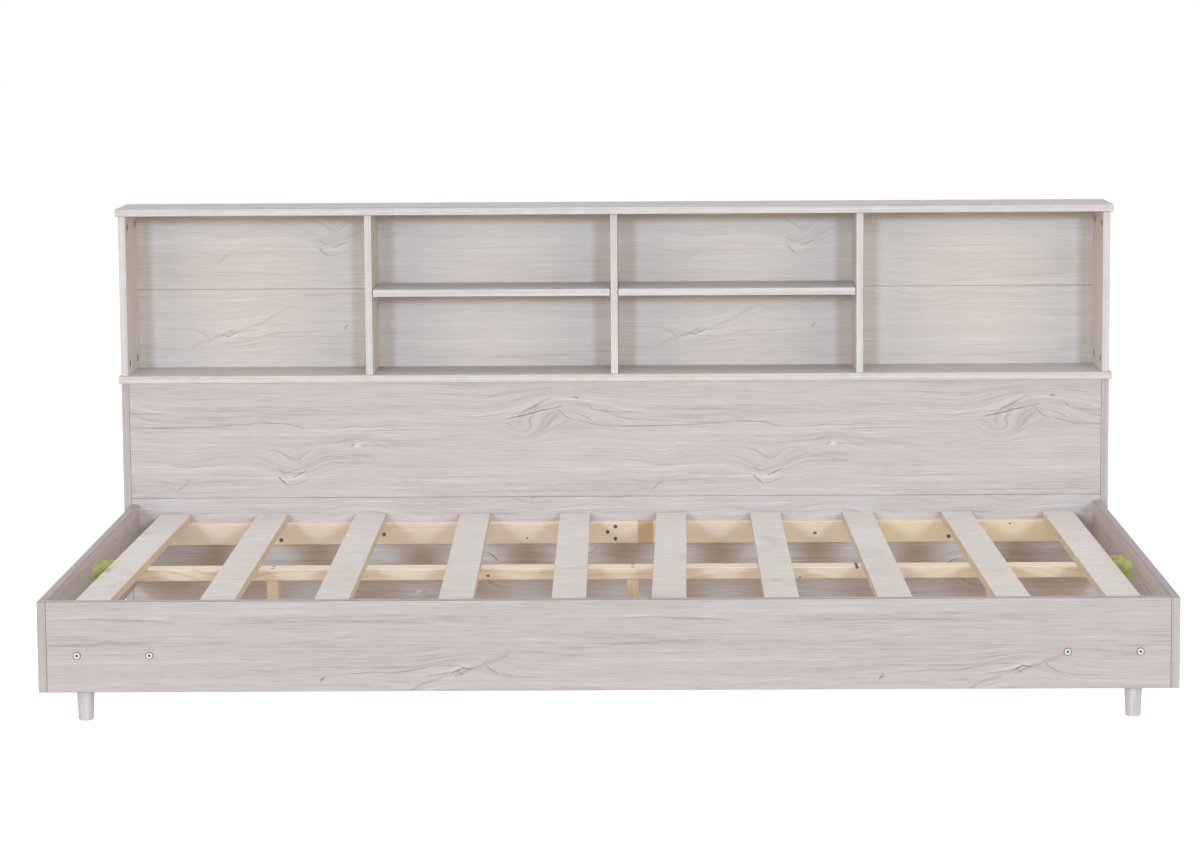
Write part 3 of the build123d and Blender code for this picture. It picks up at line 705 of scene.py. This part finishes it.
# %% The boards, and where each was cut from the print
back_cut = (-0.075, -0.457)
back_wash = 0.241
# Painted fill light on the dividers and on the inner faces of the upper sides
side_painted_fill = 0.400
end_wear = 0.323
side_wear = 0.38
# Painted shade on the upward strips of the bed base
base_top_shade = 0.55
base_scrape = 0.0010
shelf_scrape = 0.0016
board_cuts = {
    "headboard_upper": ("X", 0.0, 0.0),
    "headboard_lower": ("X", 1.01, 0.375, True),
    "front_rail": ("X", -0.160, 0.192, True),
    "top_board": ("X", 0.31, -0.21),
    # The mid shelf's arris and upper edge carry the core's painted highlight
    "mid_shelf": ("X", 0.62, -0.33, False, lit_core_tan),
    "shelf_left": ("X", 0.17, -0.30),
    "shelf_right": ("X", 0.55, -0.36),
    "end_panel_left": ("Y", 0.36, 0.02),
    "end_panel_right": ("Y", 0.88, 0.19, True),
    "upper_side_left": ("Z", 0.40, -0.28),
    "upper_side_right": ("Z", 0.05, -0.17),
    "divider_left": ("Z", 0.22, -0.38),
    "divider_centre": ("Z", 0.71, -0.19),
    "divider_right": ("Z", 0.48, -0.33),
    "lower_side_left": ("Z", 0.13, -0.25),
    "lower_side_right": ("Z", 0.84, -0.13),
    "upright_left": ("Z", 0.33, -0.36),
    "upright_centre": ("Z", 0.60, -0.22),
    "upright_right": ("Z", 0.02, -0.30),
}
base_boards = ("front_rail", "end_panel_left", "end_panel_right")
for name, cut in board_cuts.items():
    wash = side_painted_fill if name.startswith(("divider_", "upper_side_")) else 0.0
    wear = end_wear if name.startswith("end_panel_") else 0.0
    if name.startswith("lower_side_"):
        wear = side_wear
    rim_shade = base_top_shade if name in base_boards else 0.0
    scraped = base_scrape if name in base_boards else 0.0
    if name == "mid_shelf":
        scraped = shelf_scrape
    dress(name, board_finish(name, *cut, wash=wash, wear=wear, rim_shade=rim_shade, scraped=scraped))
back_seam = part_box("back_panel_lower")[1].z
for name in ("back_panel_lower", "back_panel_upper"):
    dress(name, board_finish(name, "X", *back_cut, raw_back=True, wash=back_wash, seam=back_seam))
print("seam of the back at", round(back_seam, 4))
print("boards dressed", len(board_cuts) + 2)

# %% [markdown]
# ## The slats
#
# Each slat is a strip of plywood. Its top has the same whitewash, printed with the grain across the
# slat and smudged, and its edges are raw, so that the plies show: long fibres pale, end fibres tan,
# and a thin line of glue between each two.

# %% Slat finish
slat_pale = screen(235, 227, 217)
slat_middle = screen(223, 211, 201)
slat_smudge = screen(190, 181, 178)
slat_stain = screen(150, 128, 112)
slat_lip = screen(242, 236, 220)
slat_lip_height = 0.0022
ply_pale = screen(244, 234, 216)
ply_tan = screen(224, 206, 180)
ply_glue = screen(168, 142, 116)
ply_count = 5
ply_relief = 0.00015
ply_waver = 0.5
odd_ply_strength = 0.55
glue_strength = 0.7
lip_strength = 0.8
smudge_strength = 0.8
slat_shift = 0.731

# Clouds of noise to a metre along X, Y and Z
stripe_counts = (9.0, 110.0, 1.0)
fine_counts = (30.0, 700.0, 1.0)
cloud_counts = (11.0, 7.0, 1.0)
uneven_counts = (6.0, 6.0, 1.0)
ply_counts = (60.0, 60.0, 1500.0)

# Stains on the slats: place in X and Y, reach in X and Y, and strength
slat_marks = {
    "slat_01": ((-0.935, -0.175, 0.006, 0.020, 0.8),),
    "slat_03": ((-0.490, -0.010, 0.020, 0.005, 0.4),),
    "slat_05": ((-0.070, -0.180, 0.022, 0.005, 0.4),),
    "slat_07": ((0.310, 0.110, 0.014, 0.022, 0.35), (0.300, -0.300, 0.016, 0.012, 0.4)),
}


def slat_finish(name, number):
    """The finish of one slat. Its number moves the pattern, so that no two slats are alike."""
    material, tree, shader = new_finish(f"{name} finish", Roughness=0.55, Specular_IOR_Level=0.3)
    low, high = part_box(name)
    place = place_on_piece(tree)
    turn = facing(tree)
    shift = number * slat_shift
    x = calc(tree, "ADD", place[0], shift)
    y = calc(tree, "ADD", place[1], shift)

    # Whitewash print, grain across the slat
    stripes = stretched_noise(tree, (x, y, 0.0), stripe_counts, 3.0)
    fine = stretched_noise(tree, (x, y, 0.0), fine_counts)
    cloud = stretched_noise(tree, (x, y, 0.0), cloud_counts, 3.0, 0.6)
    tone = calc(tree, "MULTIPLY_ADD", calc(tree, "SUBTRACT", stripes, 0.5), 1.5, 0.5)
    tone = calc(tree, "MULTIPLY_ADD", calc(tree, "SUBTRACT", fine, 0.5), 0.7, tone)
    top = paint(tree, fade(tree, tone, 0.2, 0.8), slat_middle, slat_pale)
    smudge = calc(tree, "MULTIPLY", fade(tree, cloud, 0.52, 0.74), fade(tree, stripes, 0.35, 0.7))
    top = paint(tree, calc(tree, "MULTIPLY", smudge, smudge_strength), top, slat_smudge)
    for mark_x, mark_y, reach_x, reach_y, strength in slat_marks.get(name, ()):
        off_x = calc(tree, "DIVIDE", calc(tree, "SUBTRACT", place[0], mark_x), reach_x)
        off_y = calc(tree, "DIVIDE", calc(tree, "SUBTRACT", place[1], mark_y), reach_y)
        mark = calc(tree, "MULTIPLY_ADD", off_x, off_x, calc(tree, "MULTIPLY", off_y, off_y))
        mark = calc(tree, "EXPONENT", calc(tree, "MULTIPLY", mark, -1.0))
        mark = calc(tree, "MULTIPLY", mark, fade(tree, stripes, 0.30, 0.60, 0.3, 1.0))
        top = paint(tree, calc(tree, "MULTIPLY", mark, strength), top, slat_stain)

    # Plies, counted from the underside
    uneven = stretched_noise(tree, (x, y, 0.0), uneven_counts)
    depth = calc(tree, "MULTIPLY", calc(tree, "SUBTRACT", place[2], low.z), ply_count / (high.z - low.z))
    depth = calc(tree, "MULTIPLY_ADD", calc(tree, "SUBTRACT", uneven, 0.5), ply_waver, depth)
    odd = is_over(tree, calc(tree, "PINGPONG", depth, 1.0), 0.5)
    grain = stretched_noise(tree, (x, y, place[2]), ply_counts)
    ply = paint(tree, fade(tree, grain, 0.3, 0.7), ply_tan, ply_pale)
    ply = paint(tree, calc(tree, "MULTIPLY", odd, odd_ply_strength), ply, ply_tan)
    seam = calc(tree, "ABSOLUTE", calc(tree, "SUBTRACT", calc(tree, "FRACT", depth), 0.5))
    ply = paint(tree, fade(tree, seam, 0.40, 0.5, 0.0, glue_strength), ply, ply_glue)
    lip = is_over(tree, place[2], high.z - slat_lip_height)
    ply = paint(tree, calc(tree, "MULTIPLY", lip, lip_strength), ply, slat_lip)

    upward = is_over(tree, turn[2], square_on)
    tree.links.new(paint(tree, upward, ply, top), shader.inputs["Base Color"])
    relief(tree, shader, calc(tree, "ADD", fine, grain), ply_relief)
    return material


slat_names = sorted(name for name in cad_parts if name.startswith("slat_"))
for number, name in enumerate(slat_names):
    dress(name, slat_finish(name, number))
print("slats dressed", len(slat_names))

# %% [markdown]
# ## Raw pine
#
# The battens are planed pine, glued up from short lengths, so the colour changes from length to
# length. A batten shows a log's rings cut lengthwise: lines that lie nearly straight along it. The
# rings are made as what they are, cylinders about a heart that lies off to one side.

# %% Pine finish
pine_pale = screen(249, 232, 212)
pine_line = screen(221, 191, 152)
pine_orange = screen(250, 230, 190)
pine_tan = screen(206, 168, 122)
pine_knot = screen(120, 82, 50)
ring_spacing = 0.0036
pine_relief = 0.0002
late_strength = 0.75
drift_reach = 0.05
knot_stretch = 1.5
knot_push = 0.004

# Clouds of noise to a metre: along the batten first, then outwards from the log's heart
drift_counts = (2.2, 1.0, 1.0)
patch_counts = (3.0, 90.0, 1.0)
fibre_counts = (25.0, 1400.0, 1.0)


def pine_finish(name, grain, heart, segments=(), knots=()):
    """heart is where the log's middle lay, across the batten. Lengths are in metres.

    A segment is its start, its end, its colour and how strong that colour is. A knot is its place
    along and up the batten, and its size.
    """
    material, tree, shader = new_finish(f"{name} finish", Roughness=0.6, Specular_IOR_Level=0.3)
    place = place_on_piece(tree)
    along_axis = axes.index(grain)
    first, second = [axis for axis in range(3) if axis != along_axis]
    along = place[along_axis]
    drift = stretched_noise(tree, (along, *heart), drift_counts)
    drift = calc(tree, "MULTIPLY", calc(tree, "SUBTRACT", drift, 0.5), drift_reach)
    left = calc(tree, "ADD", calc(tree, "SUBTRACT", place[first], heart[0]), drift)
    above = calc(tree, "SUBTRACT", place[second], heart[1])
    square = calc(tree, "MULTIPLY_ADD", left, left, calc(tree, "MULTIPLY", above, above))
    radius = calc(tree, "SQRT", square)

    # A knot pushes the rings aside
    knot_dark = 0.0
    for knot_along, knot_up, size in knots:
        off_along = calc(tree, "DIVIDE", calc(tree, "SUBTRACT", along, knot_along), size * knot_stretch)
        off_up = calc(tree, "DIVIDE", calc(tree, "SUBTRACT", place[second], knot_up), size)
        near = calc(tree, "MULTIPLY_ADD", off_along, off_along, calc(tree, "MULTIPLY", off_up, off_up))
        near = calc(tree, "EXPONENT", calc(tree, "MULTIPLY", near, -1.0))
        knot_dark = calc(tree, "ADD", knot_dark, near)
    radius = calc(tree, "MULTIPLY_ADD", knot_dark, knot_push, radius)

    rings = calc(tree, "FRACT", calc(tree, "DIVIDE", radius, ring_spacing))
    late = fade(tree, rings, 0.45, 0.95)
    late = calc(tree, "SUBTRACT", late, fade(tree, rings, 0.95, 1.0))
    strength = stretched_noise(tree, (along, radius, 0.0), patch_counts)
    late = calc(tree, "MULTIPLY", late, fade(tree, strength, 0.3, 0.75))
    fibre = stretched_noise(tree, (along, radius, 0.0), fibre_counts)
    colour = paint(tree, fade(tree, fibre, 0.3, 0.8, 0.0, 0.25), pine_pale, pine_line)
    colour = paint(tree, calc(tree, "MULTIPLY", late, late_strength), colour, pine_line)
    for start, end, tint, amount in segments:
        inside = calc(tree, "MULTIPLY", is_over(tree, along, start), is_over(tree, end, along))
        colour = paint(tree, calc(tree, "MULTIPLY", inside, amount), colour, tint)
    if knots:
        colour = paint(tree, fade(tree, knot_dark, 0.25, 0.9), colour, pine_knot)
    tree.links.new(colour, shader.inputs["Base Color"])
    relief(tree, shader, calc(tree, "ADD", fibre, late), pine_relief)
    return material


ledger_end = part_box("ledger_rear")[1].x
dress("ledger_rear", pine_finish(
    "ledger_rear", "X", (0.47, 0.30),
    segments=((0.046, 0.077, pine_tan, 0.8), (0.539, ledger_end, pine_orange, 0.75)),
    knots=((0.4066, 0.158, 0.0035), (-0.18, 0.150, 0.002), (0.803, 0.176, 0.002)),
))
dress("ledger_front", pine_finish(
    "ledger_front", "X", (-0.62, 0.05), segments=((-0.3, 0.21, pine_orange, 0.6),),
))
dress("centre_beam", pine_finish(
    "centre_beam", "X", (-0.02, 0.155),
    segments=((-0.23, 0.1, pine_orange, 0.25), (0.6, 0.9, pine_orange, 0.3)),
    knots=((-0.2336, 0.168, 0.0028), (0.4615, 0.181, 0.003), (0.354, 0.163, 0.002)),
))
for name in ("support_leg_left", "support_leg_centre", "support_leg_right"):
    low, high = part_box(name)
    leg_segment = (low.z - 0.01, high.z, pine_orange, 0.35)
    dress(name, pine_finish(name, "Z", (low.x - 0.05, 0.04), segments=(leg_segment,)))
for name in ("corner_block_left", "corner_block_right"):
    dress(name, pine_finish(name, "X", (-0.50, 0.0), segments=((-1.0, 1.0, pine_orange, 0.3),)))
print("pine dressed")

# %% [markdown]
# ## Feet and dowels
#
# The feet are turned on a lathe and sprayed with a cool whitewash, which settles in flecks that run
# up the wood. The dowels are plain beech.

# %% Turned wood
turned_relief = 0.0002
fleck_counts = (260.0, 260.0, 14.0)


def turned_finish(name, pale, deep):
    """Wood off a lathe: fine flecks that run up the piece."""
    material, tree, shader = new_finish(f"{name} finish", Roughness=0.5, Specular_IOR_Level=0.4)
    place = place_on_piece(tree)
    flow = stretched_noise(tree, place, fleck_counts, 3.0)
    colour = paint(tree, fade(tree, flow, 0.35, 0.75), pale, deep)
    tree.links.new(colour, shader.inputs["Base Color"])
    relief(tree, shader, flow, turned_relief)
    return material


foot_pale = screen(233, 231, 237)
foot_deep = screen(216, 210, 216)
foot_wash = turned_finish("foot wash", foot_pale, foot_deep)
dress("foot_left", foot_wash)
dress("foot_right", foot_wash)
dress("dowels", turned_finish("dowel", screen(222, 190, 150), screen(198, 160, 118)))

# %% [markdown]
# ## Metal
#
# Zinc plate has a faint crystal bloom, so each metal is one colour with a cloud of a second colour
# and a roughness that wanders. The hangers are passivated yellow, a coat that looks nearly green
# in cool light.

# %% Metal finish
wander = 0.1


def metal_finish(name, bright, dull, roughness, scale=400.0, metallic=1.0):
    """Plated metal: scale says how many clouds of the duller colour fit in a metre."""
    material, tree, shader = new_finish(f"{name} finish", Metallic=metallic)
    place = place_on_piece(tree)
    cloud = stretched_noise(tree, place, (scale, scale, scale), 3.0)
    tree.links.new(paint(tree, fade(tree, cloud, 0.3, 0.7), dull, bright), shader.inputs["Base Color"])
    rough = fade(tree, cloud, 0.2, 0.8, roughness + wander, roughness - wander)
    tree.links.new(rough, shader.inputs["Roughness"])
    return material


zinc = metal_finish("bright zinc", screen(214, 216, 216), screen(176, 180, 182), 0.35)
for name in ("end_bolts", "barrel_nuts", "foot_bolts", "shelf_pins", "cam_bolts", "back_nails"):
    dress(name, zinc)
yellow = metal_finish("yellow zinc", screen(222, 228, 156), screen(190, 200, 116), 0.45, 60.0, 0.3)
for name in ("beam_hanger_left", "beam_hanger_right", "hanger_screws"):
    dress(name, yellow)
brown = metal_finish("brown screw", screen(124, 106, 90), screen(92, 78, 66), 0.5, 500.0, 0.3)
for name in ("ledger_screws", "beam_screws"):
    dress(name, brown)
dress("cam_locks", metal_finish("cast zinc", screen(150, 148, 146), screen(110, 108, 106), 0.45))

# %% [markdown]
# ## The bolts in the rail
#
# The four bolts that show have flat bright heads with a socket in the middle. At this distance a
# head reads as a bright ring between a dark middle and a dark rim. Both darks are painted shade, in
# the socket's hollow and in the gap round the head, and the colour goes by how far a point is from
# the nearest bolt's axis.

# %% The heads of the rail's bolts
bolt_head = 0.013
bolt_spacing = 0.126
bolt_ring = screen(226, 230, 232)
bolt_shade_and_scratch = screen(92, 90, 92)
socket_shade_edge = (0.0021, 0.0027)
rim_shade_edge = (0.0052, 0.0060)
scratch_counts = (900.0, 900.0, 900.0)


def bolt_finish(name):
    """Bright heads with painted shade in the socket and round the head's edge, by the distance from each
    bolt's axis.
    """
    material, tree, shader = new_finish(f"{name} finish", Metallic=0.5, Roughness=0.35)
    low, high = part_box(name)
    place = place_on_piece(tree)
    out = calc(tree, "ABSOLUTE", place[0])
    above = calc(tree, "SUBTRACT", place[2], (low.z + high.z) / 2)
    radii = []
    for centre in (high.x - bolt_head / 2, high.x - bolt_head / 2 - bolt_spacing):
        beside = calc(tree, "SUBTRACT", out, centre)
        square = calc(tree, "MULTIPLY_ADD", beside, beside, calc(tree, "MULTIPLY", above, above))
        radii.append(calc(tree, "SQRT", square))
    radius = calc(tree, "MINIMUM", *radii)
    # Painted shade: dark in the socket's hollow and in the gap round the head
    socket = fade(tree, radius, *socket_shade_edge, 1.0, 0.0)
    rim_shade = fade(tree, radius, *rim_shade_edge)
    scratch = stretched_noise(tree, place, scratch_counts)
    colour = paint(tree, fade(tree, scratch, 0.3, 0.7, 0.0, 0.25), bolt_ring, bolt_shade_and_scratch)
    colour = paint(tree, calc(tree, "MAXIMUM", socket, rim_shade), colour, bolt_shade_and_scratch)
    tree.links.new(colour, shader.inputs["Base Color"])
    return material


dress("rail_bolts", bolt_finish("rail_bolts"))

# %% [markdown]
# ## The floor
#
# A product picture stands on white paper, and a retoucher makes that paper plain white. The floor
# is a wide plane that gives its own white to the camera. It throws no light on to the bed, which
# would be lit from below otherwise.

# %% Floor
floor_reach = 30.0
floor_glow = 0.93
floor_grey = (0.25, 0.25, 0.25, 1.0)
paper_white = (1.0, 1.0, 1.0, 1.0)
floor_mesh = bpy.data.meshes.new("floor")
corners = [(x * floor_reach, y * floor_reach, 0.0) for x, y in ((-1, -1), (1, -1), (1, 1), (-1, 1))]
floor_mesh.from_pydata(corners, [], [(0, 1, 2, 3)])
floor = bpy.data.objects.new("floor", floor_mesh)
bpy.context.scene.collection.objects.link(floor)
floor_material, floor_tree, floor_shader = new_finish(
    "white paper", Roughness=0.9, Specular_IOR_Level=0.1, Emission_Strength=floor_glow
)
floor_shader.inputs["Base Color"].default_value = floor_grey
floor_shader.inputs["Emission Color"].default_value = paper_white
floor_mesh.materials.append(floor_material)
floor.visible_diffuse = False

# %% Check that every piece has a finish
bare = [name for name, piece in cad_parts.items() if len(piece.data.materials) != 1]
print("pieces without one finish", bare)
